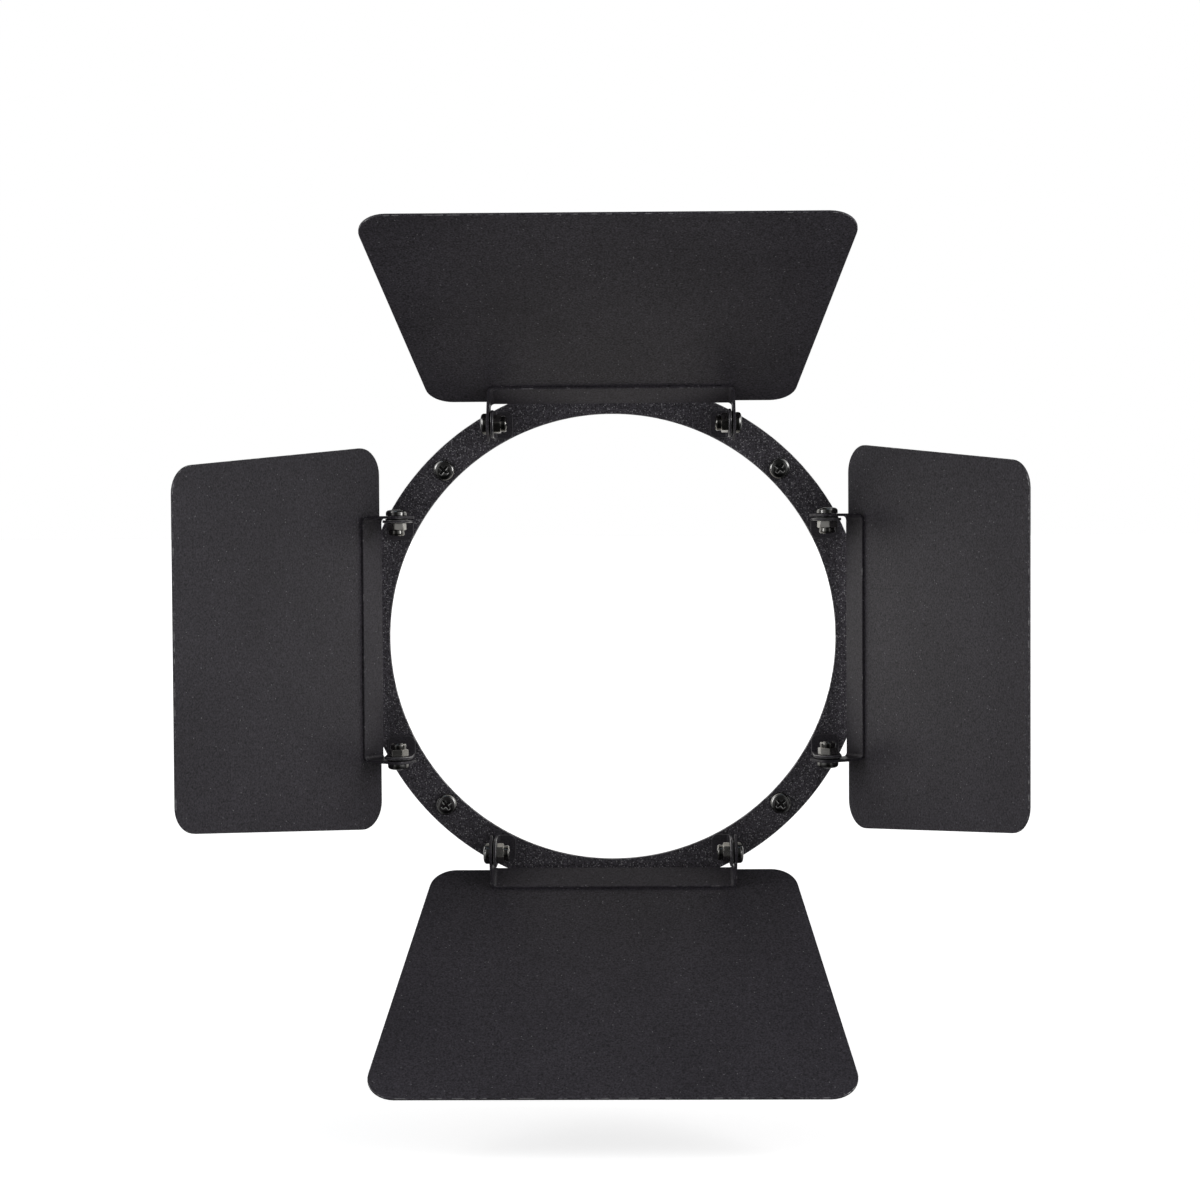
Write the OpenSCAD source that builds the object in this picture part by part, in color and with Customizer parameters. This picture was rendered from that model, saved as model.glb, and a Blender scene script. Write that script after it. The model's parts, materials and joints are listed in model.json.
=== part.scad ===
// Four-leaf barn door for a stage wash light with a round lens.
//
// A flat ring plate screws to the front of the lamp. Each of its four sides carries two hinge lugs, and
// a sheet-metal leaf swings on them. The leaf's bracket is a flat bar bent into a U: its base is welded
// to the leaf and its two ears turn on a pair of bolts, whose lock nuts set the friction that holds it.
//
// +Z is up, +X is right seen from the front, and the light leaves along -Y. The origin is the centre of
// the light opening on the rear face of the ring plate, where the part meets the lamp.
//
// A leaf's angle is 0 when it lies flat outwards, parallel to the plate, 90 when it points straight
// forward and 180 when it lies closed across the opening.

/* [Ring plate] */
// Diameter of the light opening
opening_d = 203; // [198:0.5:204]
// Outer diameter of the ring plate
plate_d = 232.5; // [232:0.5:240]
// Thickness of the ring plate
plate_t = 2; // [1.5:0.5:3]
// Pitch circle of the four screws that hold the plate to the lamp
screw_pcd = 215.6; // [215:0.1:219]

/* [Hinges] */
// Distance from the centre of the opening to each hinge axis
axis_r = 96.5; // [96:0.5:98]
// Height of the hinge axes in front of the plate
axis_h = 17; // [17:0.5:20]
// Distance from a side's centre line to the middle of each lug
lug_offset = 53.1; // [50:0.1:54]
// Width of a lug and of the bracket bar
bar_w = 12.5; // [12:0.5:13]
// Thickness of the lug, bracket and leaf sheet
sheet_t = 1.2; // [1:0.1:1.5]
// Length of the lug's foot, from the outer face of the lug
foot_l = 9; // [8:0.5:9]

/* [Leaves] */
// Distance from the hinge axis to the inner face of the leaf
leaf_drop = 15.8; // [15:0.1:16.2]
// Length of the top and bottom leaves, from the hinged edge to the free edge
long_leaf_l = 137; // [120:1:138]
// Width of the top and bottom leaves at the hinged edge
long_leaf_near_w = 163.4; // [150:0.2:165]
// Width of the top and bottom leaves at the free edge
long_leaf_far_w = 207.8; // [180:0.2:210]
// Length of the left and right leaves
side_leaf_l = 126.2; // [110:0.2:128]
// Width of the left and right leaves at the hinged edge
side_leaf_near_w = 174.6; // [160:0.2:175]
// Width of the left and right leaves at the free edge
side_leaf_far_w = 152.4; // [140:0.2:170]
// Corner radius of the leaves
leaf_corner_r = 12; // [6:0.5:14]

/* [Rest pose] */
// Angle of the top leaf
top_angle = 59.5; // [48:0.5:150]
// Angle of the right leaf
right_angle = 59.5; // [48:0.5:150]
// Angle of the bottom leaf
bottom_angle = 55.2; // [48:0.1:150]
// Angle of the left leaf
left_angle = 53.6; // [48:0.1:150]

/* [Fasteners] */
// Thread diameter of the screws and bolts
thread_d = 5; // [4.8:0.1:5]
// Length of the plate screws under the head
screw_l = 12; // [10:1:20]
// Length of the hinge bolts under the head
bolt_l = 9; // [9:1:12]

/* [Hidden] */

// The sides, as turns about the opening's axis from the top
TOP = 0;
RIGHT = 90;
BOTTOM = 180;
LEFT = 270;

// The plate screws stand midway between the sides
SCREW_TURNS = [45, 135, 225, 315];

// Gaps
run_gap = 0.05;      // radial and axial running clearance of the hinges
thread_gap = 0.02;   // radial gap that stands for the thread inside a nut
cut = 1;             // how far a cutting shape stands past the face it cuts

// Plate screws: cross-recess pan head
screw_head_d = 9.5;
screw_head_h = 3.2;
screw_shoulder_r = 1.6;
screw_neck_d = 4.4;  // plain neck under the head, rolled thinner than the thread
screw_neck_l = plate_t + 0.4;
screw_hole_d = 5.5;
recess_w = 1.1;
recess_l = 4.6;
recess_h = 1.8;
recess_turn = 20;

// Hinge bolts: hexagon-socket head with a rounded shoulder
bolt_head_d = 9.5;
bolt_head_h = 2.75;
bolt_shoulder_r = 1.5;
socket_af = 3;
socket_h = 1.6;

// Lock nuts
nut_af = 8;
nut_hex_h = 3.4;
nut_h = 5.8;
nut_chamfer_w = 1;   // how far the chamfer cuts the hexagon's corners back
nut_chamfer_h = 0.5;
collar_d = 7.2;
collar_edge_r = 1;
insert_d = 6.2;
insert_h = 1.3;
insert_lip = 0.3;    // how far the insert stops short of the nut's end

// Friction washers
washer_d = 10;
washer_t = 0.6;

// Places along a hinge, measured out from the side's centre line
lug_in = lug_offset - sheet_t / 2;
lug_out = lug_offset + sheet_t / 2;
ear_in = lug_out + washer_t + 2 * run_gap;
ear_out = ear_in + sheet_t;
bolt_seat = ear_out + run_gap;

// Bends and corners
bend_r = 1.8;        // inside radius of the bracket's bends
foot_bend_r = 1;     // inside radius of the lug's bend
foot_corner_r = 3;
ear_corner_r = 2;

axis_y = -(plate_t + axis_h);
tip = bar_w / 2;     // how far ears and lugs reach past the hinge axis

// Steps in a quarter of a drawn arc, and in the full circle of the plate, a bend and a fastener
arc_n = 10;
plate_fn = 180;
bend_fn = 64;
rod_fn = 48;

coat = [0.15, 0.15, 0.16];
steel = [0.10, 0.10, 0.11];
nylon = [0.20, 0.20, 0.22];

// ---------------------------------------------------------------- helpers

// Points of an arc about centre c
function arc(c, r, from, to, n = arc_n) =
    [for (i = [0:n]) c + r * [cos(from + (to - from) * i / n), sin(from + (to - from) * i / n)]];

// Arc that rounds corner b of the outline a-b-c, which turns anticlockwise
function fillet(a, b, c, r) =
    let (
        u = (a - b) / norm(a - b),
        v = (c - b) / norm(c - b),
        half = acos(u * v) / 2,
        centre = b + (u + v) / norm(u + v) * r / sin(half),
        start = atan2(-u.x, u.y) + 180
    )
    arc(centre, r, start, start + 180 - 2 * half);

// Outline with every corner rounded; points run anticlockwise
function rounded(points, r) =
    let (n = len(points))
    [for (i = [0:n - 1]) each fillet(points[(i + n - 1) % n], points[i], points[(i + 1) % n], r)];

// Moves children from the top side to another side
module on_side(side) rotate([0, side, 0]) children();

// Puts children on a side's hinge axis, with X along the axis and Z outwards
module at_hinge(side) on_side(side) translate([0, axis_y, axis_r]) children();

// Repeats children, which are drawn on the +X end, at both ends of a hinge
module both_ends() {
    children();
    mirror([1, 0, 0]) children();
}

// Cylinder along +X from x = from to x = to
module rod(d, from, to, fn = rod_fn) {
    translate([from, 0, 0]) rotate([0, 90, 0]) cylinder(d = d, h = to - from, $fn = fn);
}

// Solid head of diameter d and height h, seated on z = 0, with a rounded shoulder
module head(d, h, shoulder_r) {
    shoulder = arc([d / 2 - shoulder_r, h - shoulder_r], shoulder_r, 0, 90);
    rotate_extrude($fn = rod_fn) polygon(concat([[0, 0], [d / 2, 0]], shoulder, [[0, h]]));
}

// Bend along Z that joins a wall along Y to a base along X. The wall's outer face is at x = outside_r,
// the base's outer face at y = outside_r, and the sheet is bar_w wide.
module bend(inside_r) {
    outside_r = inside_r + sheet_t;
    difference() {
        intersection() {
            cylinder(r = outside_r, h = bar_w, center = true, $fn = bend_fn);
            translate([0, 0, -bar_w / 2]) cube([outside_r, outside_r, bar_w]);
        }
        cylinder(r = inside_r, h = bar_w + cut, center = true, $fn = bend_fn);
    }
}

// ---------------------------------------------------------------- frame

module ring_plate() {
    hole_h = plate_t + 2 * cut;
    color(coat) difference() {
        rotate([90, 0, 0]) cylinder(d = plate_d, h = plate_t, $fn = plate_fn);
        translate([0, cut, 0]) rotate([90, 0, 0]) cylinder(d = opening_d, h = hole_h, $fn = plate_fn);
        for (turn = SCREW_TURNS)
            rotate([0, turn, 0]) translate([0, cut, screw_pcd / 2])
                rotate([90, 0, 0]) cylinder(d = screw_hole_d, h = hole_h, $fn = rod_fn);
    }
}

// One screw, seated on z = 0 with its head towards +Z
module plate_screw() {
    difference() {
        head(screw_head_d, screw_head_h, screw_shoulder_r);
        for (turn = [recess_turn, recess_turn + 90])
            rotate([0, 0, turn]) translate([-recess_l / 2, -recess_w / 2, screw_head_h - recess_h])
                cube([recess_l, recess_w, recess_h + cut]);
    }
    translate([0, 0, -screw_neck_l]) cylinder(d = screw_neck_d, h = screw_neck_l, $fn = rod_fn);
    translate([0, 0, -screw_l]) cylinder(d = thread_d, h = screw_l - screw_neck_l, $fn = rod_fn);
}

module plate_screws() {
    color(steel) for (turn = SCREW_TURNS)
        rotate([0, turn, 0]) translate([0, -plate_t, screw_pcd / 2]) rotate([90, 0, 0]) plate_screw();
}

// A lug is an angle: its foot is welded to the plate and its web stands up to the hinge axis
module lug() {
    bend_out = foot_bend_r + sheet_t;
    foot_x = lug_out - foot_l;
    foot_end = lug_out - bend_out;
    difference() {
        union() {
            rod(bar_w, lug_in, lug_out, bend_fn);
            translate([lug_in, 0, -bar_w / 2]) cube([sheet_t, axis_h - bend_out, bar_w]);
        }
        rod(thread_d + 2 * run_gap, lug_in - cut, lug_out + cut);
    }
    translate([foot_end, axis_h - bend_out, 0]) bend(foot_bend_r);
    translate([0, axis_h, 0]) rotate([90, 0, 0]) linear_extrude(sheet_t)
        polygon(concat(
            [[foot_end, -bar_w / 2], [foot_end, bar_w / 2]],
            arc([foot_x + foot_corner_r, bar_w / 2 - foot_corner_r], foot_corner_r, 90, 180),
            arc([foot_x + foot_corner_r, -bar_w / 2 + foot_corner_r], foot_corner_r, 180, 270)
        ));
}

module lugs(side) color(coat) at_hinge(side) both_ends() lug();

// ---------------------------------------------------------------- hinge hardware

// Bolt along the hinge axis, head outside
module hinge_bolt() {
    translate([bolt_seat, 0, 0]) rotate([0, 90, 0]) difference() {
        head(bolt_head_d, bolt_head_h, bolt_shoulder_r);
        translate([0, 0, bolt_head_h - socket_h])
            cylinder(d = socket_af / cos(30), h = socket_h + cut, $fn = 6);
    }
    rod(thread_d, bolt_seat - bolt_l, bolt_seat);
}

module bolts(side) color(steel) at_hinge(side) both_ends() hinge_bolt();

module washers(side) color(nylon) at_hinge(side) both_ends() difference() {
    rod(washer_d, lug_out, lug_out + washer_t);
    rod(thread_d + 2 * run_gap, lug_out - cut, lug_out + washer_t + cut);
}

// Solid of revolution about the hinge axis; the profile's heights start at the lug's inner face
module turned_inwards(profile) {
    translate([lug_in, 0, 0]) rotate([0, -90, 0]) rotate_extrude($fn = rod_fn) polygon(profile);
}

// Nut against the inner face of the lug: hexagon with a chamfered edge, then a round collar
module lock_nut() {
    corner_r = nut_af / 2 / cos(30);
    rolled_edge = arc([collar_d / 2 - collar_edge_r, nut_h - collar_edge_r], collar_edge_r, 0, 90);
    difference() {
        union() {
            intersection() {
                rod(2 * corner_r, lug_in - nut_hex_h, lug_in, 6);
                turned_inwards([
                    [0, 0], [corner_r, 0], [corner_r, nut_hex_h - nut_chamfer_h],
                    [corner_r - nut_chamfer_w, nut_hex_h], [0, nut_hex_h]
                ]);
            }
            turned_inwards(concat(
                [[0, nut_hex_h - cut], [collar_d / 2, nut_hex_h - cut]], rolled_edge, [[0, nut_h]]
            ));
        }
        rod(thread_d + 2 * thread_gap, lug_in - nut_h - cut, lug_in + cut);
        rod(insert_d, lug_in - nut_h - cut, lug_in - nut_h + insert_lip + insert_h);
    }
}

module lock_nuts(side) color(steel) at_hinge(side) both_ends() lock_nut();

// Nylon ring in a nut's collar; it grips the bolt and keeps the hinge's friction
module nut_insert() difference() {
    rod(insert_d - 2 * thread_gap, lug_in - nut_h + insert_lip, lug_in - nut_h + insert_lip + insert_h);
    rod(thread_d + 2 * thread_gap, lug_in - nut_h - cut, lug_in);
}

module nut_inserts() {
    color(nylon) for (side = [TOP, RIGHT, BOTTOM, LEFT]) at_hinge(side) both_ends() nut_insert();
}

// ---------------------------------------------------------------- leaves

// Sheet leaf on a side, opened to an angle. The hinged edge lies level with the bracket bar's edge.
module leaf(side, angle, length, near_w, far_w) {
    near_z = -bar_w / 2;
    far_z = near_z + length;
    outline = [[-near_w / 2, near_z], [near_w / 2, near_z], [far_w / 2, far_z], [-far_w / 2, far_z]];
    color(coat) at_hinge(side) rotate([angle, 0, 0]) translate([0, leaf_drop + sheet_t, 0])
        rotate([90, 0, 0]) linear_extrude(sheet_t) polygon(rounded(outline, leaf_corner_r));
}

module long_leaf(side, angle) leaf(side, angle, long_leaf_l, long_leaf_near_w, long_leaf_far_w);

module side_leaf(side, angle) leaf(side, angle, side_leaf_l, side_leaf_near_w, side_leaf_far_w);

// One end of the bracket: half of the base, the bend, and the ear with its bore
module bracket_end() {
    bend_out = bend_r + sheet_t;
    ear_base = leaf_drop - bend_out;
    flat = tip - ear_corner_r;
    // the ear, with two rounded corners past the axis
    difference() {
        translate([ear_in, 0, 0]) rotate([90, 0, 90]) linear_extrude(sheet_t)
            polygon(concat(
                [[ear_base, -tip], [ear_base, tip]],
                arc([-flat, flat], ear_corner_r, 90, 180),
                arc([-flat, -flat], ear_corner_r, 180, 270)
            ));
        rod(thread_d + 2 * run_gap, ear_in - cut, ear_out + cut);
    }
    translate([ear_out - bend_out, ear_base, 0]) bend(bend_r);
    translate([0, leaf_drop - sheet_t, -tip]) cube([ear_out - bend_out, sheet_t, bar_w]);
}

module bracket(side, angle) color(coat) at_hinge(side) rotate([angle, 0, 0]) both_ends() bracket_end();

// ---------------------------------------------------------------- nodes

ring_plate();
plate_screws();
long_leaf(TOP, top_angle);  // top_leaf
bracket(TOP, top_angle);  // top_bracket
lugs(TOP);  // top_lugs
bolts(TOP);  // top_bolts
washers(TOP);  // top_washers
lock_nuts(TOP);  // top_lock_nuts
side_leaf(RIGHT, right_angle);  // right_leaf
bracket(RIGHT, right_angle);  // right_bracket
lugs(RIGHT);  // right_lugs
bolts(RIGHT);  // right_bolts
washers(RIGHT);  // right_washers
lock_nuts(RIGHT);  // right_lock_nuts
long_leaf(BOTTOM, bottom_angle);  // bottom_leaf
bracket(BOTTOM, bottom_angle);  // bottom_bracket
lugs(BOTTOM);  // bottom_lugs
bolts(BOTTOM);  // bottom_bolts
washers(BOTTOM);  // bottom_washers
lock_nuts(BOTTOM);  // bottom_lock_nuts
side_leaf(LEFT, left_angle);  // left_leaf
bracket(LEFT, left_angle);  // left_bracket
lugs(LEFT);  // left_lugs
bolts(LEFT);  // left_bolts
washers(LEFT);  // left_washers
lock_nuts(LEFT);  // left_lock_nuts
nut_inserts();
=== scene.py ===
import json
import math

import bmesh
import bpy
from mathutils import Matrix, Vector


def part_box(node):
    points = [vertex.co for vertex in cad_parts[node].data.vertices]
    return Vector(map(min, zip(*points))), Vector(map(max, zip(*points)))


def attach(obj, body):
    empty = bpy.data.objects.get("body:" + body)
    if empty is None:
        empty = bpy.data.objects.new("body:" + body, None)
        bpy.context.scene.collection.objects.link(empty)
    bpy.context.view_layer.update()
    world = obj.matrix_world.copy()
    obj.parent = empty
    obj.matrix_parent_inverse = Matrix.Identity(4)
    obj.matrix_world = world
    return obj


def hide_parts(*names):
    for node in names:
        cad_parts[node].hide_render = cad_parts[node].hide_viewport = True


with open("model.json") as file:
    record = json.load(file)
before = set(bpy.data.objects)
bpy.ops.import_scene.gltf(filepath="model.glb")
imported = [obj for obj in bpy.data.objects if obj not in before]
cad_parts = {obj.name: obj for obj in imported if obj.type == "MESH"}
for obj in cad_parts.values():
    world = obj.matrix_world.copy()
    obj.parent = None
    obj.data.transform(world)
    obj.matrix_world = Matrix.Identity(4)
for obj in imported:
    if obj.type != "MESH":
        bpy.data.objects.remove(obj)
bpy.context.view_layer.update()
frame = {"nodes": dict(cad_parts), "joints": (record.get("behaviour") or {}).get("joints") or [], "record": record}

# Looks for the four-leaf barn door. Each CAD node is replaced by a finer mesh of the same shape in
# the same place: sheet metal with rolled edges and true bends, threaded bolts, chamfered lock nuts.
# The frame has +Z up and -Y towards the viewer. Lengths are in metres.
#
# A hinge has its own frame: X along the hinge, Y to the rear, Z outwards from the opening's middle.
# A door's frame is its hinge's frame, turned about X until Z runs along the leaf.
#
# Pieces carry a vertex layer "edge", from 0 to 1, that says how much wear and painted highlight shows
# there: the materials lighten those edges towards pale metal.

MM = 0.001
TINY = 1e-6

SIDES = ("top", "right", "bottom", "left")
JOINTS = {joint["child"].removesuffix("_door"): joint for joint in frame["joints"]}
MOUNTS = {mount["name"]: mount for mount in frame["record"]["mounts"]}

# Sheet metal
EDGE_R = 0.3 * MM           # rolled edge of the coated sheet
BRACKET_BEND_R = 1.8 * MM   # inside radius
LUG_BEND_R = 1 * MM         # inside radius
FOOT_L = 9 * MM             # from the lug's outer face
FOOT_CORNER_R = 3 * MM
FOOT_WEAR_AND_HIGHLIGHT = 0.1             # share of the wear and painted highlight that the edges of the lug's foot show
EAR_CORNER_R = 2 * MM
PIVOT_HOLE_R = 2.55 * MM
PLATE_HOLE_R = 2.75 * MM
WELD_R = 2.2 * MM           # spot-weld dimples in a leaf's outer face, behind the bracket
WELD_DEPTH = 0.15 * MM
WELD_INSET = 13 * MM        # from the ear to the outer dimples
WELD_RINGS = (1, 0.85, 0.65, 0.4, 0.2)   # shares of a dimple's radius

# Threads and heads
THREAD_R = 2.5 * MM
THREAD_PITCH = 0.8 * MM
THREAD_DEPTH = 0.43 * MM
THREAD_FLAT = 0.15          # share of half a pitch that the root takes, and the crest too
# Wear and painted highlight along the thread
THREAD_WEAR_AND_HIGHLIGHT = 0.3
TIP_CHAMFER = 1.4 * THREAD_DEPTH
HEAD_BEVEL = 0.25 * MM      # under the head
# Wear and painted highlight on the bevel under a head
HEAD_BEVEL_WEAR_AND_HIGHLIGHT = 0.4
CROWN = 0.12 * MM           # how far a head's top rises above its shoulder
CROWN_RINGS = ((0.95, 0.4), (0.88, 0))   # share of the flat top's radius, share of the rise to go

# Plate screws
SCREW_L = 12 * MM
SCREW_NECK_R = 2.2 * MM
SCREW_NECK_L = 2.4 * MM
SCREW_HEAD_R = 4.75 * MM
SCREW_HEAD_H = 3.2 * MM
SCREW_SHOULDER_R = 1.6 * MM
RECESS_ARM = 2.35 * MM
RECESS_W = 1.1 * MM
RECESS_RIM = 0.22 * MM      # width of the chamfer round the recess, which carries wear and a painted highlight; it is half as deep
RECESS_TAPER = ((0.1 * MM, 0.8 * MM), (0.3 * MM, 1.8 * MM))   # how far the walls lean in, and where
SCREW_PLACES = (45, 135, 225, 315)   # degrees round the plate, clockwise from the top
SCREW_TURNS = (8, -6, -10, 5)        # degrees, in the same order

# Hinge bolts
BOLT_L = 9 * MM
BOLT_PLAIN_L = 3 * MM
BOLT_HEAD_R = 4.75 * MM
BOLT_HEAD_H = 2.75 * MM
BOLT_SHOULDER_R = 1.5 * MM
SOCKET_AF = 3 * MM
SOCKET_H = 1.6 * MM
SOCKET_TURN = 0.4           # radians, at a hinge's second end
SEAT_GAP = 0.05 * MM        # between an ear and the bolt's head
WASHER_BEVEL = 0.12 * MM

# Lock nuts and their inserts
NUT_AF = 8 * MM
NUT_HEX_H = 3.4 * MM
NUT_H = 5.8 * MM
NUT_BORE_R = 2.52 * MM
NUT_SEAT_INSET = 0.7 * MM   # from the corners' radius to the seat's
NUT_SEAT_BEVEL = ((0.15 * MM, 0.2 * MM), (0, 0.35 * MM))   # cut off the corners' radius, height
NUT_CHAMFER_H = 0.5 * MM
NUT_CHAMFER_STEPS = 5
# Wear and painted highlight on the nut's seat bevel and chamfer
NUT_WEAR_AND_HIGHLIGHT = 0.6
COLLAR_R = 3.6 * MM
COLLAR_EDGE_R = 1 * MM
COLLAR_WAIST = 0.2 * MM     # how much narrower the collar is next to the hexagon
COLLAR_WAIST_H = 0.1 * MM
INSERT_HOLE_R = 3.1 * MM
INSERT_R = 3.08 * MM
INSERT_H = 1.3 * MM
INSERT_LIP = 0.3 * MM
INSERT_BEVEL = 0.15 * MM
NUT_TURNS = {"top": (11, 54), "right": (10, 49), "bottom": (16, 44), "left": (10, 25)}  # degrees

# Fineness of the meshes, in steps
PLATE_STEPS = 240
WELD_STEPS = 24
ROLL_STEPS = 4
FOLD_STEPS = 10
TIP_STEPS = 24              # round the top of a lug
PITCH_STEPS = 8             # along one pitch of a thread
SHARP_ANGLE = math.radians(35)   # edges that bend more than this are shaded sharp


# ------------------------------------------------------------------ places read from the frame

def half_span(node, side):
    """How far a node reaches along its hinge from the side's centre line."""
    low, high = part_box(node)
    along = 0 if side in ("top", "bottom") else 2
    return (high[along] - low[along]) / 2


def hinge_place(side):
    """Hinge frame to row frame."""
    axis = Vector(JOINTS[side]["axis"])
    rear = Vector((0, 1, 0))
    place = Matrix((axis, rear, axis.cross(rear))).transposed().to_4x4()
    place.translation = Vector(JOINTS[side]["pos_m"])
    return place


def door_place(side):
    """Door frame to row frame. The leaf's largest face gives its angle."""
    hinge = hinge_place(side)
    face = max(frame["nodes"][side + "_leaf"].data.polygons, key=lambda polygon: polygon.area)
    normal = hinge.to_3x3().transposed() @ face.normal
    if normal.z > 0:
        normal.negate()
    return hinge @ Matrix.Rotation(math.atan2(-normal.z, -normal.y), 4, "X")


def points_of(node, place):
    """A CAD node's vertices in the frame that place maps to the row frame."""
    back = place.inverted()
    return [back @ vertex.co for vertex in frame["nodes"][node].data.vertices]


LUG_OUT = half_span("top_lugs", "top")
LUG_IN = half_span("top_lock_nuts", "top")
SHEET_T = LUG_OUT - LUG_IN
WASHER_OUT = half_span("top_washers", "top")
WASHER_R = (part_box("top_washers")[1].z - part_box("top_washers")[0].z) / 2
EAR_OUT = half_span("top_bracket", "top")
BOLT_SEAT = EAR_OUT + SEAT_GAP
BAR_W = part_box("top_lugs")[1].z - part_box("top_lugs")[0].z
TIP = BAR_W / 2             # how far ears and lugs reach past the hinge axis
LEAF_DROP = max(point.y for point in points_of("top_bracket", door_place("top")))
PLATE_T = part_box("ring_plate")[1].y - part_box("ring_plate")[0].y
PLATE_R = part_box("ring_plate")[1].x
AXIS_H = -JOINTS["top"]["pos_m"][1] - PLATE_T
OPENING_R = MOUNTS["light_opening"]["dims"]["r_mm"] * MM
SCREW_CIRCLE_R = MOUNTS["lamp_studs"]["dims"]["pcd_mm"] / 2 * MM


# ------------------------------------------------------------------ outlines, running anticlockwise

def arc(centre, radius, start, end, steps=8):
    """Points of an arc; angles in degrees."""
    turns = [math.radians(start + (end - start) * i / steps) for i in range(steps + 1)]
    return [Vector((centre[0] + radius * math.cos(a), centre[1] + radius * math.sin(a))) for a in turns]


def circle(centre, radius, steps=32):
    return arc(centre, radius, 0, 360, steps)[:-1]


def hull(points):
    """Convex outline of 2-D points. Points closer than 0.1 micrometre count as one."""
    order = sorted({(round(x, 7), round(y, 7)) for x, y in points})
    straight = 1e-12

    def chain(run):
        kept = []
        for point in run:
            while len(kept) > 1:
                a, b = Vector(kept[-2]), Vector(kept[-1])
                if (b - a).cross(Vector(point) - a) > straight:
                    break
                kept.pop()
            kept.append(point)
        return kept[:-1]

    return [Vector(point) for point in chain(order) + chain(order[::-1])]


def moved_in(outline, distance):
    """Closed outline moved to its left, which is inwards when it runs anticlockwise."""
    moved = []
    for i, point in enumerate(outline):
        before = (point - outline[i - 1]).normalized()
        after = (outline[(i + 1) % len(outline)] - point).normalized()
        left = Vector((-before.y - after.y, before.x + after.x)).normalized()
        moved.append(point + left * distance / left.dot(Vector((-before.y, before.x))))
    return moved


# ------------------------------------------------------------------ mesh builders

def add_walls(bm, rows, closed=False):
    """Quads between rows of vertices, each row a closed loop."""
    following = rows[1:] + rows[:1] if closed else rows[1:]
    for low, high in zip(rows, following):
        for i in range(len(low)):
            j = (i + 1) % len(low)
            bm.faces.new((low[i], low[j], high[j], high[i]))


def add_fan(bm, row, centre):
    """Closes a row with triangles to one centre point."""
    hub = bm.verts.new(centre)
    for i in range(len(row)):
        bm.faces.new((row[i], row[(i + 1) % len(row)], hub))


def add_dimple(bm, centre):
    """Shallow round hollow in the face at z = 0; returns its rim."""
    rows = []
    for share in WELD_RINGS:
        depth = WELD_DEPTH * (0.5 + 0.5 * math.cos(math.pi * share))
        points = circle(centre, WELD_R * share, WELD_STEPS)
        rows.append([bm.verts.new((point.x, point.y, depth)) for point in points])
    add_walls(bm, rows)
    add_fan(bm, rows[-1], (centre[0], centre[1], WELD_DEPTH))
    return rows[0]


def sheet(outline, holes=(), dimples=(), thickness=SHEET_T):
    """Flat sheet in XY, from z = 0 up, with rolled edges whose wear and painted highlight are strongest
    along their middle. Dimples are in the lower face."""
    bm = bmesh.new()
    edge = bm.verts.layers.float.new("edge")
    turns = [math.radians(90 * i / ROLL_STEPS) for i in range(ROLL_STEPS + 1)]
    # The third value of a roll step is its wear and painted highlight, highest halfway round.
    roll = [(EDGE_R * (1 - math.sin(a)), EDGE_R * (1 - math.cos(a)), math.sin(2 * a)) for a in turns]
    profile = roll + [(inset, thickness - height, wear_and_highlight) for inset, height, wear_and_highlight in reversed(roll)]
    rims = ([], [])
    for loop in [outline] + [hole[::-1] for hole in holes]:
        rows = []
        for inset, height, wear_and_highlight in profile:
            row = [bm.verts.new((point.x, point.y, height)) for point in moved_in(loop, inset)]
            for vertex in row:
                vertex[edge] = wear_and_highlight
            rows.append(row)
        add_walls(bm, rows)
        rims[0].append(rows[0])
        rims[1].append(rows[-1])
    for centre in dimples:
        rims[0].append(add_dimple(bm, centre))
    for cap in rims:
        edges = [bm.edges.get((row[i - 1], row[i])) for row in cap for i in range(len(row))]
        bmesh.ops.triangle_fill(bm, edges=edges, use_beauty=True)
    return bm


def fold_length(inside_r):
    """Length of flat sheet that a fold takes."""
    return (inside_r + SHEET_T / 2) * math.pi / 2


def fold(bm, start, inside_r):
    """Folds what lies past x = start up by 90 degrees."""
    outside_r = inside_r + SHEET_T
    length = fold_length(inside_r)
    for i in range(FOLD_STEPS + 1):
        everything = bm.verts[:] + bm.edges[:] + bm.faces[:]
        line = (start + length * i / FOLD_STEPS, 0, 0)
        bmesh.ops.bisect_plane(bm, geom=everything, plane_co=line, plane_no=(1, 0, 0), dist=TINY)
    for vertex in bm.verts:
        past = vertex.co.x - start
        if past > 0:
            turn = math.pi / 2 * min(past / length, 1)
            reach = outside_r - vertex.co.z
            vertex.co.x = start + reach * math.sin(turn)
            vertex.co.z = outside_r - reach * math.cos(turn) + max(0, past - length)


def turned(rings, steps=72, closed=False):
    """Solid about Z from rings of (radius, z), where either may be a function of the angle. A closed
    profile makes a ring-shaped solid; an open one is closed by fans. A third value is the wear and painted
    highlight."""
    bm = bmesh.new()
    edge = bm.verts.layers.float.new("edge")
    rows = []
    for radius, height, *wear_and_highlight in rings:
        row = []
        for i in range(steps):
            a = 2 * math.pi * i / steps
            r = radius(a) if callable(radius) else radius
            z = height(a) if callable(height) else height
            vertex = bm.verts.new((r * math.cos(a), r * math.sin(a), z))
            vertex[edge] = wear_and_highlight[0] if wear_and_highlight else 0
            row.append(vertex)
        rows.append(row)
    add_walls(bm, rows, closed)
    if not closed:
        for row in (rows[0], rows[-1]):
            add_fan(bm, row, (0, 0, row[0].co.z))
    return bm


def hexagon(across_flats, turn=0):
    """Radius of a hexagon as a function of the angle."""
    sector = math.pi / 3

    def radius(a):
        off = (a - turn + sector / 2) % sector - sector / 2
        return across_flats / 2 / math.cos(off)

    return radius


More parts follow.
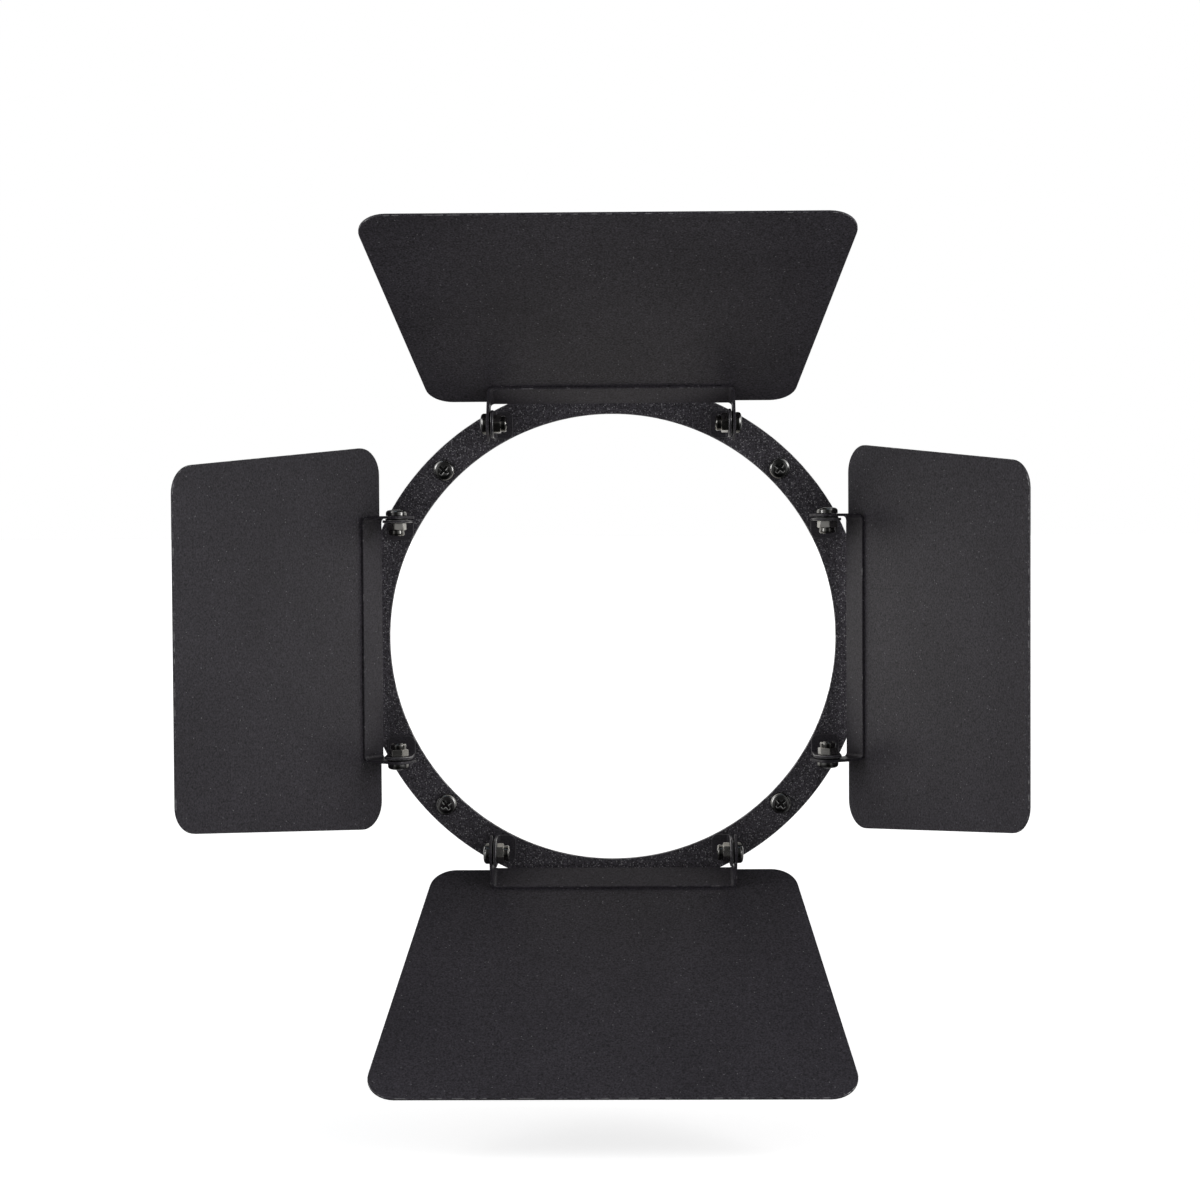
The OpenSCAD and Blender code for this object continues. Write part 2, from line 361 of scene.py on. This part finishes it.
def cross(arm, width, turn):
    """Radius of a four-armed cross as a function of the angle."""
    sector = math.pi / 2

    def radius(a):
        off = (a - turn + sector / 2) % sector - sector / 2
        return min(arm / math.cos(off), width / 2 / max(abs(math.sin(off)), TINY))

    return radius


def rolled(radius, height, edge_r, turn=90):
    """Rings of a rounded upper edge, from its outside through an angle in degrees. A narrow band
    halfway round a quarter turn carries wear and a painted highlight."""
    corner = arc((radius - edge_r, height - edge_r), edge_r, 0, turn)
    last = len(corner) - 1
    band_wear_and_highlight = [math.sin(math.radians(2 * turn * i / last)) ** 4 for i in range(last + 1)]
    return [(point.x, point.y, wear_and_highlight) for point, wear_and_highlight in zip(corner, band_wear_and_highlight)]


def head(radius, height, shoulder_r):
    """Rings of a fastener's head, from its seat at z = 0 to a slightly crowned top."""
    flat_r = radius - shoulder_r
    rings = [(radius - HEAD_BEVEL, 0), (radius, HEAD_BEVEL, HEAD_BEVEL_WEAR_AND_HIGHLIGHT)]
    rings += rolled(radius, height - CROWN, shoulder_r)
    return rings + [(flat_r * share, height - CROWN * to_go) for share, to_go in CROWN_RINGS]


def thread(start, end):
    """Rings of a right-handed thread from z = start down to its chamfered tip at z = end."""
    count = round((start - end) / THREAD_PITCH * PITCH_STEPS)

    def ring(z):
        def radius(a):
            phase = (z / THREAD_PITCH - a / (2 * math.pi)) % 1
            flank = (abs(phase - 0.5) * 2 - THREAD_FLAT) / (1 - 2 * THREAD_FLAT)
            crest = min(1, max(0, flank))
            grown = min(1, (start - z) / THREAD_PITCH)
            cut = THREAD_DEPTH * (1 - crest) * grown
            tip = THREAD_R - TIP_CHAMFER + (z - end)
            return min(THREAD_R - cut, tip)

        return radius

    heights = [start + (end - start) * i / count for i in range(count + 1)]
    return [(ring(z), z, THREAD_WEAR_AND_HIGHLIGHT) for z in heights]


def merged(parts):
    """One bmesh from several, each put in its place."""
    whole = bmesh.new()
    for part, place in parts:
        part.transform(place)
        mesh = bpy.data.meshes.new("part")
        part.to_mesh(mesh)
        part.free()
        whole.from_mesh(mesh)
        bpy.data.meshes.remove(mesh)
    return whole


# Sheets are drawn flat with z up. This stands one up, with z to -Y and y to Z.
FACING = Matrix.Rotation(math.pi / 2, 4, "X")
ENDS = (Matrix.Identity(4), Matrix.Rotation(math.pi, 4, "Y"))


def at_ends(make):
    """A part made in the hinge frame for the +X end, and again for the other end."""
    return merged([(make(i), end) for i, end in enumerate(ENDS)])


# ------------------------------------------------------------------ frame pieces

def ring_plate():
    """Round plate with the light opening and four screw holes."""
    holes = [circle((0, 0), OPENING_R, PLATE_STEPS)]
    for around in SCREW_PLACES:
        centre = arc((0, 0), SCREW_CIRCLE_R, around, around, 1)[0]
        holes.append(circle(centre, PLATE_HOLE_R))
    return sheet(circle((0, 0), PLATE_R, PLATE_STEPS), holes, thickness=PLATE_T)


def plate_screw(turn):
    """Pan head with a cross recess whose arms taper downwards, a plain neck and a thread."""
    shank = thread(-SCREW_NECK_L, -SCREW_L)[::-1]
    shank += [(SCREW_NECK_R, -SCREW_NECK_L), (SCREW_NECK_R, 0)]
    rings = head(SCREW_HEAD_R, SCREW_HEAD_H, SCREW_SHOULDER_R)
    # The recess's rim carries full wear and painted highlight.
    recess = [(-RECESS_RIM, 0, 1), (0, RECESS_RIM / 2, 1)]
    recess += [(inset, depth, 0) for inset, depth in RECESS_TAPER]
    for inset, depth, wear_and_highlight in recess:
        wall = cross(RECESS_ARM - inset, RECESS_W - 2 * inset, math.radians(turn))
        rings.append((wall, SCREW_HEAD_H - depth, wear_and_highlight))
    return turned(shank + rings, steps=144)


def plate_screws():
    seat = Matrix.Translation((0, -PLATE_T, SCREW_CIRCLE_R)) @ FACING
    parts = []
    for around, turn in zip(SCREW_PLACES, SCREW_TURNS):
        parts.append((plate_screw(turn), Matrix.Rotation(math.radians(around), 4, "Y") @ seat))
    return merged(parts)


def lug(_):
    """Foot flat on the plate, web folded up, a round top about the pivot hole."""
    outside_r = LUG_BEND_R + SHEET_T
    foot = -(FOOT_L - outside_r)
    pivot = fold_length(LUG_BEND_R) + AXIS_H - outside_r
    corner = FOOT_CORNER_R
    outline = arc((foot + corner, TIP - corner), corner, 90, 180)
    outline += arc((foot + corner, corner - TIP), corner, 180, 270)
    outline += arc((pivot, 0), TIP, -90, 90, TIP_STEPS)
    bm = sheet(outline, [circle((pivot, 0), PIVOT_HOLE_R)])
    # The foot's edges keep only a small share of the wear and painted highlight.
    edge = bm.verts.layers.float["edge"]
    for vertex in bm.verts:
        if vertex.co.x < 0:
            vertex[edge] *= FOOT_WEAR_AND_HIGHLIGHT
    fold(bm, 0, LUG_BEND_R)
    bm.transform(Matrix.Translation((LUG_OUT - outside_r, AXIS_H, 0)) @ FACING)
    return bm


# ------------------------------------------------------------------ hinge pieces

ALONG = Matrix.Rotation(math.pi / 2, 4, "Y")    # Z to +X, for parts turned about the hinge
INWARD = Matrix.Rotation(-math.pi / 2, 4, "Y")  # Z to -X


def bolt(end):
    """Head with a hexagon socket, a plain shank and a thread. The two ends' sockets differ in turn."""
    shank = thread(-BOLT_PLAIN_L, -BOLT_L)[::-1] + [(THREAD_R, 0)]
    rings = head(BOLT_HEAD_R, BOLT_HEAD_H, BOLT_SHOULDER_R)
    socket = hexagon(SOCKET_AF, end * SOCKET_TURN)
    # The socket's rim carries full wear and painted highlight.
    bm = turned(shank + rings + [(socket, BOLT_HEAD_H, 1), (socket, BOLT_HEAD_H - SOCKET_H)])
    bm.transform(Matrix.Translation((BOLT_SEAT, 0, 0)) @ ALONG)
    return bm


def washer(_):
    """Flat friction washer between lug and ear."""
    flat_r = WASHER_R - WASHER_BEVEL
    # The rim carries full wear and painted highlight.
    rings = [(PIVOT_HOLE_R, LUG_OUT), (flat_r, LUG_OUT), (WASHER_R, LUG_OUT + WASHER_BEVEL, 1)]
    rings += [(WASHER_R, WASHER_OUT - WASHER_BEVEL, 1), (flat_r, WASHER_OUT), (PIVOT_HOLE_R, WASHER_OUT)]
    bm = turned(rings, steps=64, closed=True)
    bm.transform(ALONG)
    return bm


def lock_nut(turn):
    """Hexagon with a turned chamfer, then a rolled collar that holds the insert. A vertex layer is 1
    on the collar, where the plating is drawn darker and glossier."""
    flats = hexagon(NUT_AF, math.radians(turn))
    corner_r = NUT_AF / math.sqrt(3)

    def cut_back(r):
        return lambda a: min(flats(a), r)

    rings = [(NUT_BORE_R, 0), (corner_r - NUT_SEAT_INSET, 0)]
    for cut, height in NUT_SEAT_BEVEL:
        rings.append((cut_back(corner_r - cut), height, NUT_WEAR_AND_HIGHLIGHT))
    for i in range(NUT_CHAMFER_STEPS + 1):
        down = NUT_CHAMFER_H * (1 - i / NUT_CHAMFER_STEPS)
        rings.append((cut_back(COLLAR_R + 2 * down), NUT_HEX_H - down, NUT_WEAR_AND_HIGHLIGHT))
    rings.append((COLLAR_R - COLLAR_WAIST, NUT_HEX_H + COLLAR_WAIST_H))
    roll_turn = math.acos(1 - (COLLAR_R - INSERT_HOLE_R) / COLLAR_EDGE_R)
    rings += rolled(COLLAR_R, NUT_H, COLLAR_EDGE_R, math.degrees(roll_turn))
    floor_z = NUT_H - INSERT_LIP - INSERT_H
    rings += [(INSERT_HOLE_R, floor_z), (NUT_BORE_R, floor_z)]
    bm = turned(rings, steps=96, closed=True)
    darker_collar = bm.verts.layers.float.new("darker_collar")
    for vertex in bm.verts:
        vertex[darker_collar] = float(vertex.co.z > NUT_HEX_H)
    bm.transform(Matrix.Translation((LUG_IN, 0, 0)) @ INWARD)
    return bm


def nut_insert(_):
    """Nylon ring inside the collar, bevelled where the bolt's tip comes out."""
    low = NUT_H - INSERT_LIP - INSERT_H
    high = NUT_H - INSERT_LIP
    rings = [(NUT_BORE_R, low), (INSERT_R, low), (INSERT_R, high)]
    rings += [(NUT_BORE_R + INSERT_BEVEL, high), (NUT_BORE_R, high - INSERT_BEVEL)]
    bm = turned(rings, steps=48, closed=True)
    bm.transform(Matrix.Translation((LUG_IN, 0, 0)) @ INWARD)
    return bm


# ------------------------------------------------------------------ door pieces

def leaf(side):
    """Flat sheet with the CAD leaf's outline and three spot-weld dimples behind the bracket."""
    points = points_of(side + "_leaf", door_place(side))
    weld = EAR_OUT - WELD_INSET
    bm = sheet(hull([(point.x, point.z) for point in points]), dimples=[(-weld, 0), (0, 0), (weld, 0)])
    bm.transform(Matrix.Translation((0, LEAF_DROP + SHEET_T, 0)) @ FACING)
    return bm


def bracket():
    """Flat bar folded up at both ends, with a pivot hole in each ear."""
    outside_r = BRACKET_BEND_R + SHEET_T
    start = EAR_OUT - outside_r
    pivot = start + fold_length(BRACKET_BEND_R) + LEAF_DROP - outside_r
    corner = EAR_CORNER_R
    x = pivot + TIP - corner
    y = TIP - corner
    outline = arc((x, -y), corner, -90, 0) + arc((x, y), corner, 0, 90)
    outline += arc((-x, y), corner, 90, 180) + arc((-x, -y), corner, 180, 270)
    bm = sheet(outline, [circle((pivot, 0), PIVOT_HOLE_R), circle((-pivot, 0), PIVOT_HOLE_R)])
    for _ in ENDS:
        fold(bm, start, BRACKET_BEND_R)
        bm.transform(Matrix.Rotation(math.pi, 4, "Z"))
    bm.transform(Matrix.Translation((0, LEAF_DROP, 0)) @ FACING)
    return bm


# ------------------------------------------------------------------ materials

class Paint:
    """Procedural shading of a material or a world. Its calls add nodes and return output sockets."""

    def __init__(self, owner, surface="Principled BSDF", coordinate="Object"):
        owner.use_nodes = True
        self.owner = owner
        self.tree = owner.node_tree
        self.surface = self.tree.nodes[surface]
        self.place = self.node("ShaderNodeTexCoord").outputs[coordinate]

    def node(self, kind, sockets=None, **settings):
        node = self.tree.nodes.new(kind)
        for key, value in settings.items():
            setattr(node, key, value)
        self.feed(node, sockets or {})
        return node

    def feed(self, node, sockets):
        for key, value in sockets.items():
            if isinstance(value, bpy.types.NodeSocket):
                self.tree.links.new(value, node.inputs[key])
            else:
                node.inputs[key].default_value = value

    def noise(self, size, detail=2, rough=0.5):
        sockets = {"Vector": self.place, "Scale": 1 / size, "Detail": detail, "Roughness": rough}
        return self.node("ShaderNodeTexNoise", sockets).outputs["Fac"]

    def math(self, operation, a, b=0.0):
        return self.node("ShaderNodeMath", {0: a, 1: b}, operation=operation).outputs[0]

    def times(self, a, b):
        return self.math("MULTIPLY", a, b)

    def scaled(self, colour, amount):
        sockets = {0: colour[:3], "Scale": amount}
        return self.node("ShaderNodeVectorMath", sockets, operation="SCALE").outputs["Vector"]

    def between(self, value, low, high, out_low=0.0, out_high=1.0):
        """Straight-line map of low..high to out_low..out_high, held at the ends."""
        sockets = {"Value": value, "From Min": low, "From Max": high}
        sockets |= {"To Min": out_low, "To Max": out_high}
        return self.node("ShaderNodeMapRange", sockets).outputs["Result"]

    def varied(self, noise, low, high):
        """Maps 0.3..0.7, where most of a noise lies, to low..high."""
        return self.between(noise, 0.3, 0.7, low, high)

    def specks(self, size, share):
        """Round specks with soft rims, one in a share of cells of a size."""
        cells = self.node("ShaderNodeTexVoronoi", {"Vector": self.place, "Scale": 1 / size})
        pick = self.node("ShaderNodeSeparateColor", {"Color": cells.outputs["Color"]}).outputs["Red"]
        chosen = self.math("GREATER_THAN", pick, 1 - share)
        return self.times(chosen, self.between(cells.outputs["Distance"], 0.42, 0.25))

    def mix(self, amount, a, b):
        """Colour a, going over to b as amount grows. Sockets 6, 7 and 2 are the node's colour ones."""
        node = self.node("ShaderNodeMix", data_type="RGBA")
        self.feed(node, {0: amount, 6: a, 7: b})
        return node.outputs[2]

    def layer(self, name):
        """A vertex layer's value, or 0 where a mesh has no such layer."""
        return self.node("ShaderNodeAttribute", attribute_name=name).outputs["Fac"]

    def seen_by_camera(self):
        return self.node("ShaderNodeLightPath").outputs["Is Camera Ray"]

    def bump(self, height, distance, strength):
        sockets = {"Height": height, "Distance": distance, "Strength": strength}
        return self.node("ShaderNodeBump", sockets).outputs["Normal"]


# The coats: linear grey, roughness, size and contrast of the grain, its depth in the bump, share of
# cells with pale flecks and painted glints, and how much of the edges' length shows wear and painted highlight
COATS = {
    "textured_coat": {
        "base": 0.044, "roughness": 0.5, "grain": 0.6 * MM, "contrast": 0.9,
        "depth": 0.15 * MM, "fleck_and_glint_share": 0.35, "wear_and_highlight": 0.8,
    },
    "satin_coat": {
        "base": 0.034, "roughness": 0.46, "grain": 0.8 * MM, "contrast": 0.7,
        "depth": 0.05 * MM, "fleck_and_glint_share": 0.01, "wear_and_highlight": 0.5,
    },
    "bracket_coat": {
        "base": 0.036, "roughness": 0.42, "grain": 0.8 * MM, "contrast": 0.5,
        "depth": 0.04 * MM, "fleck_and_glint_share": 0.01, "wear_and_highlight": 0.3,
    },
    "lug_coat": {
        "base": 0.034, "roughness": 0.42, "grain": 0.8 * MM, "contrast": 0.5,
        "depth": 0.04 * MM, "fleck_and_glint_share": 0.01, "wear_and_highlight": 1,
    },
}
COAT_TINT = 0.2             # towards violet
CLOUD = 45 * MM             # size of the coats' broad, faint shading
# Size of the pale flecks, which also stand in for glints on the coat.
FLECK_AND_GLINT_SIZE = 0.7 * MM
FLECK_AND_GLINT_GREY = 6              # times the coat's own grey; the flecks are partly painted glints
# Size of the patches along the edges that show wear and a painted highlight.
WORN_AND_HIGHLIT_PATCH = 3 * MM
BARE_METAL_AND_HIGHLIGHT_GREY = 0.4            # linear grey under a worn coat, also a painted highlight on the edges

# The platings: linear grey, tint, roughness, and how far the edges go over to bright metal, which
# is partly a painted highlight
PLATINGS = {
    "black_zinc": {"base": 0.16, "tint": -0.02, "roughness": 0.15, "wear_and_highlight": 0.7},
    "nut_zinc": {"base": 0.3, "tint": -0.05, "roughness": 0.26, "wear_and_highlight": 0.4},
}
BRIGHT_METAL_AND_HIGHLIGHT_GREY = 0.6          # linear grey of rubbed edges, also a painted highlight
COLLAR_SHADE = 0.5        # times a plating's own grey and roughness, on the lock nuts' collars
COLLAR_ROUGHNESS = 0.4

NYLON = 0.015               # linear grey


def grey(value, tint=0.0):
    """Linear grey, towards violet for a positive tint and towards beige for a negative one."""
    return (value * (1 + abs(tint) / 2), value, value * (1 + tint), 1)


def new_material(name):
    return Paint(bpy.data.materials.new(name))


def powder_coat(name, base, roughness, grain, contrast, depth, fleck_and_glint_share, wear_and_highlight):
    """Black powder coat. Its grain is drawn in colour, gloss and bump; pale flecks lie in it, partly painted
    glints, and its edges are rubbed through to pale metal, partly a painted highlight, along more of their
    length for a larger wear."""
    paint = new_material(name)
    fine = paint.noise(grain, 2, 0.65)
    cloud = paint.noise(CLOUD)
    flecks_and_glints = paint.specks(FLECK_AND_GLINT_SIZE, fleck_and_glint_share)
    # Patches along the edges that show wear and a painted highlight.
    worn_and_highlit = paint.between(paint.noise(WORN_AND_HIGHLIT_PATCH, 3), 0.7 - 0.4 * wear_and_highlight, 0.85 - 0.4 * wear_and_highlight)
    rub_and_highlight = paint.times(paint.layer("edge"), worn_and_highlit)
    shade = paint.varied(fine, 1 - contrast, 1 + contrast)
    shade = paint.times(shade, paint.varied(cloud, 0.9, 1.1))
    colour = paint.scaled(grey(base, COAT_TINT), shade)
    # Pale flecks, partly painted glints.
    colour = paint.mix(flecks_and_glints, colour, grey(base * FLECK_AND_GLINT_GREY, 0.05))
    # Rubbed edges go over to pale metal: wear and a painted highlight.
    colour = paint.mix(rub_and_highlight, colour, grey(BARE_METAL_AND_HIGHLIGHT_GREY, 0.02))
    rough = paint.varied(fine, roughness + 0.06, roughness - 0.06)
    rough = paint.math("SUBTRACT", rough, paint.times(rub_and_highlight, 0.12))
    normal = paint.bump(fine, depth, 0.9)
    sockets = {"Base Color": colour, "Roughness": rough, "Normal": normal}
    sockets |= {"Specular IOR Level": 0.32, "Metallic": paint.times(rub_and_highlight, 0.8)}
    paint.feed(paint.surface, sockets)
    return paint.owner


def metal(name, base, tint, roughness, wear_and_highlight):
    """Plated steel with faint smudges. The plating is rubbed bright on its edges, partly a painted
    highlight, and is darker and glossier where a vertex layer is 1, on the lock nuts' collars."""
    paint = new_material(name)
    smudge = paint.noise(4 * MM, 3)
    darker_collar = paint.layer("darker_collar")
    rub_and_highlight = paint.times(paint.layer("edge"), paint.between(smudge, 0.3, 0.5))
    shade = paint.varied(smudge, 0.85, 1.15)
    # Darker on the lock nuts' collars.
    shade = paint.times(shade, paint.between(darker_collar, 0, 1, 1, COLLAR_SHADE))
    colour = paint.scaled(grey(base, tint), shade)
    # Rubbed edges go over to bright metal: wear and a painted highlight.
    colour = paint.mix(paint.times(rub_and_highlight, wear_and_highlight), colour, grey(BRIGHT_METAL_AND_HIGHLIGHT_GREY, tint))
    rough = paint.varied(smudge, roughness - 0.04, roughness + 0.06)
    rough = paint.times(rough, paint.between(darker_collar, 0, 1, 1, COLLAR_ROUGHNESS))
    normal = paint.bump(paint.noise(0.3 * MM), 0.004 * MM, 0.5)
    sockets = {"Base Color": colour, "Roughness": rough, "Normal": normal, "Metallic": 1.0}
    paint.feed(paint.surface, sockets)
    return paint.owner


def plastic(name, base):
    """Dull black nylon with faint scuffs on its rim, partly a painted highlight."""
    paint = new_material(name)
    smudge = paint.noise(1.5 * MM, 3)
    rub_and_highlight = paint.times(paint.layer("edge"), paint.between(smudge, 0.45, 0.6))
    # Scuffs lighten the rim: wear and a painted highlight.
    colour = paint.mix(paint.times(rub_and_highlight, 0.4), grey(base), grey(base * 4))
    rough = paint.varied(smudge, 0.42, 0.6)
    normal = paint.bump(paint.noise(0.2 * MM), 0.01 * MM, 0.6)
    paint.feed(paint.surface, {"Base Color": colour, "Roughness": rough, "Normal": normal})
    return paint.owner


def pale_floor():
    """Matt white. To the camera it glows brighter with distance, so that it meets the white
    surroundings without a horizon line."""
    paint = new_material("pale_floor")
    colour = paint.mix(paint.noise(0.4), grey(0.86), grey(0.9))
    reach = paint.node("ShaderNodeVectorMath", {0: paint.place}, operation="LENGTH").outputs["Value"]
    seen = paint.between(reach, FLOOR_NEAR, FLOOR_FAR, FLOOR_NEAR_GLOW, 1)
    glow = paint.math("MAXIMUM", FLOOR_GLOW, paint.times(paint.seen_by_camera(), seen))
    sockets = {"Base Color": colour, "Roughness": 0.8, "Specular IOR Level": 0.1}
    sockets |= {"Emission Color": grey(1), "Emission Strength": glow}
    paint.feed(paint.surface, sockets)
    return paint.owner


# ------------------------------------------------------------------ studio

FLOOR_Z = -0.212            # just below the bottom door's lowest reach
FLOOR_R = 40
FLOOR_GLOW = 0.1            # to all but the camera
FLOOR_NEAR_GLOW = 0.65      # to the camera, up to FLOOR_NEAR; it is 1 from FLOOR_FAR on
FLOOR_NEAR = 0.4
FLOOR_FAR = 2.5

MIDDLE = (0, 0, 0)
SIDE_BOX_OUT = 1.3          # a side softbox's distance sideways, forwards and up
SIDE_BOX_FRONT = 0.65
SIDE_BOX_UP = 0.45
SIDE_BOX_SIZE = (0.5, 0.9)
SIDE_BOX_RADIANCE = {"right": 4.4, "left": 3}
TOP_BOX_PLACE = (0, -0.5, 1.4)
TOP_BOX_AIM = (0, -0.1, 0)
TOP_BOX_SIZE = (1.2, 0.6)
TOP_BOX_RADIANCE = 0.25
TOP_BOX_COLOUR = (0.6, 0.8, 1)
LENS_PLACE = (0, 0.01, 0)
LENS_AIM = (0, -1, 0)
LENS_R = 0.95 * OPENING_R
LENS_RADIANCE = 0.3
LENS_COLOUR = (1, 0.96, 0.88)

REAR_WALL = 0.8             # brightness of the walls and the room, beside the camera's white
SIDE_WALL = 1
DARK_ROOM = 0.07

CAMERA_PLACE = (0.01087, -1.10084, 0.05237)
CAMERA_YAW = 0.86           # degrees, to the left
CAMERA_PITCH = 1.85         # degrees, down
CAMERA_ROLL = -0.33         # degrees
CAMERA_LENS = 72.4          # millimetres on a 36 mm sensor


def floor():
    bm = bmesh.new()
    bmesh.ops.create_circle(bm, cap_ends=True, radius=FLOOR_R, segments=96)
    mesh = bpy.data.meshes.new("floor")
    bm.to_mesh(mesh)
    bm.free()
    mesh.materials.append(pale_floor())
    ground = bpy.data.objects.new("floor", mesh)
    ground.location.z = FLOOR_Z
    ground.visible_glossy = False
    bpy.context.scene.collection.objects.link(ground)


def softbox(name, place, aim, size, radiance, colour=(1, 1, 1), shape="RECTANGLE"):
    """Soft light of a width and height at a place, facing aim. The camera doesn't see it."""
    light = bpy.data.lights.new(name, "AREA")
    light.shape = shape
    light.size, light.size_y = size
    light.energy = radiance * math.pi * size[0] * size[1]
    light.color = colour
    lamp = bpy.data.objects.new(name, light)
    lamp.location = place
    lamp.rotation_euler = (Vector(aim) - Vector(place)).to_track_quat("-Z", "Y").to_euler()
    lamp.visible_camera = False
    bpy.context.scene.collection.objects.link(lamp)


def soft_light():
    """A softbox on each side, a weak bluish one above, and a weak warm disc in the opening that
    stands in for the lamp's lens."""
    for side, radiance in SIDE_BOX_RADIANCE.items():
        out = SIDE_BOX_OUT if side == "right" else -SIDE_BOX_OUT
        place = (out, -SIDE_BOX_FRONT, SIDE_BOX_UP)
        softbox(side + "_softbox", place, MIDDLE, SIDE_BOX_SIZE, radiance)
    softbox("top_softbox", TOP_BOX_PLACE, TOP_BOX_AIM, TOP_BOX_SIZE, TOP_BOX_RADIANCE, TOP_BOX_COLOUR)
    lens = (2 * LENS_R, 2 * LENS_R)
    softbox("lens_glow", LENS_PLACE, LENS_AIM, lens, LENS_RADIANCE, LENS_COLOUR, "ELLIPSE")


def surroundings():
    """The camera sees white all around. The object sees a white wall straight behind it, grey walls at
    its sides that are brighter higher up and darker straight beside it, and a dark room in front. The
    walls' limits are coordinates of a unit vector that points at them."""
    world = bpy.data.worlds.new("studio")
    bpy.context.scene.world = world
    paint = Paint(world, "Background", "Generated")
    direction = paint.node("ShaderNodeSeparateXYZ", {0: paint.place}).outputs
    behind = paint.between(direction["Y"], 0.8, 0.95, 0, REAR_WALL)
    sideways = paint.math("ABSOLUTE", direction["X"])
    beside = paint.between(sideways, 0.25, 0.8, DARK_ROOM, SIDE_WALL)
    beside = paint.times(beside, paint.between(sideways, 0.9, 0.99, 1, 0.4))
    beside = paint.times(beside, paint.between(direction["Z"], -0.35, 0.35, 0.15, 1))
    level = paint.math("MAXIMUM", behind, beside)
    strength = paint.math("MAXIMUM", level, paint.seen_by_camera())
    paint.feed(paint.surface, {"Color": grey(1), "Strength": strength})


def camera():
    data = bpy.data.cameras.new("camera")
    data.lens = CAMERA_LENS
    eye = bpy.data.objects.new("camera", data)
    turn = Matrix.Rotation(math.radians(CAMERA_YAW), 4, "Z")
    tilt = Matrix.Rotation(math.radians(90 - CAMERA_PITCH), 4, "X")
    roll = Matrix.Rotation(math.radians(CAMERA_ROLL), 4, "Z")
    eye.matrix_world = Matrix.Translation(CAMERA_PLACE) @ turn @ tilt @ roll
    bpy.context.scene.collection.objects.link(eye)
    bpy.context.scene.camera = eye
    bpy.context.scene.view_settings.view_transform = "Standard"


# ------------------------------------------------------------------ the whole object

def materials():
    """The materials of the pieces, by the name of their slot."""
    made = {slot: powder_coat(slot, **look) for slot, look in COATS.items()}
    made |= {slot: metal(slot, **look) for slot, look in PLATINGS.items()}
    made["nylon"] = plastic("nylon", NYLON)
    return made


def show(node, body, bm, place, paints, slot):
    """Puts a bmesh in the scene in a CAD node's place. Flat faces shade flat, rolled edges smoothly."""
    bm.transform(place)
    bmesh.ops.recalc_face_normals(bm, faces=bm.faces)
    mesh = bpy.data.meshes.new(node + "_shown")
    bm.to_mesh(mesh)
    bm.free()
    mesh.materials.append(paints[slot])
    mesh.shade_smooth()
    mesh.set_sharp_from_angle(angle=SHARP_ANGLE)
    piece = bpy.data.objects.new(node + "_shown", mesh)
    bpy.context.scene.collection.objects.link(piece)
    piece.modifiers.new("flat faces shade flat", "WEIGHTED_NORMAL").keep_sharp = True
    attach(piece, body)
    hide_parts(node)


def build():
    paints = materials()
    still = Matrix.Identity(4)
    show("ring_plate", "frame", ring_plate(), FACING, paints, "textured_coat")
    show("plate_screws", "frame", plate_screws(), still, paints, "black_zinc")
    inserts = [(at_ends(nut_insert), hinge_place(side)) for side in SIDES]
    show("nut_inserts", "frame", merged(inserts), still, paints, "nylon")
    for side in SIDES:
        hinge = hinge_place(side)
        nuts = at_ends(lambda end: lock_nut(NUT_TURNS[side][end]))
        show(side + "_lugs", "frame", at_ends(lug), hinge, paints, "lug_coat")
        show(side + "_bolts", "frame", at_ends(bolt), hinge, paints, "black_zinc")
        show(side + "_washers", "frame", at_ends(washer), hinge, paints, "nylon")
        show(side + "_lock_nuts", "frame", nuts, hinge, paints, "nut_zinc")
        door = door_place(side)
        show(side + "_leaf", side + "_door", leaf(side), door, paints, "satin_coat")
        show(side + "_bracket", side + "_door", bracket(), door, paints, "bracket_coat")


build()
floor()
soft_light()
surroundings()
camera()
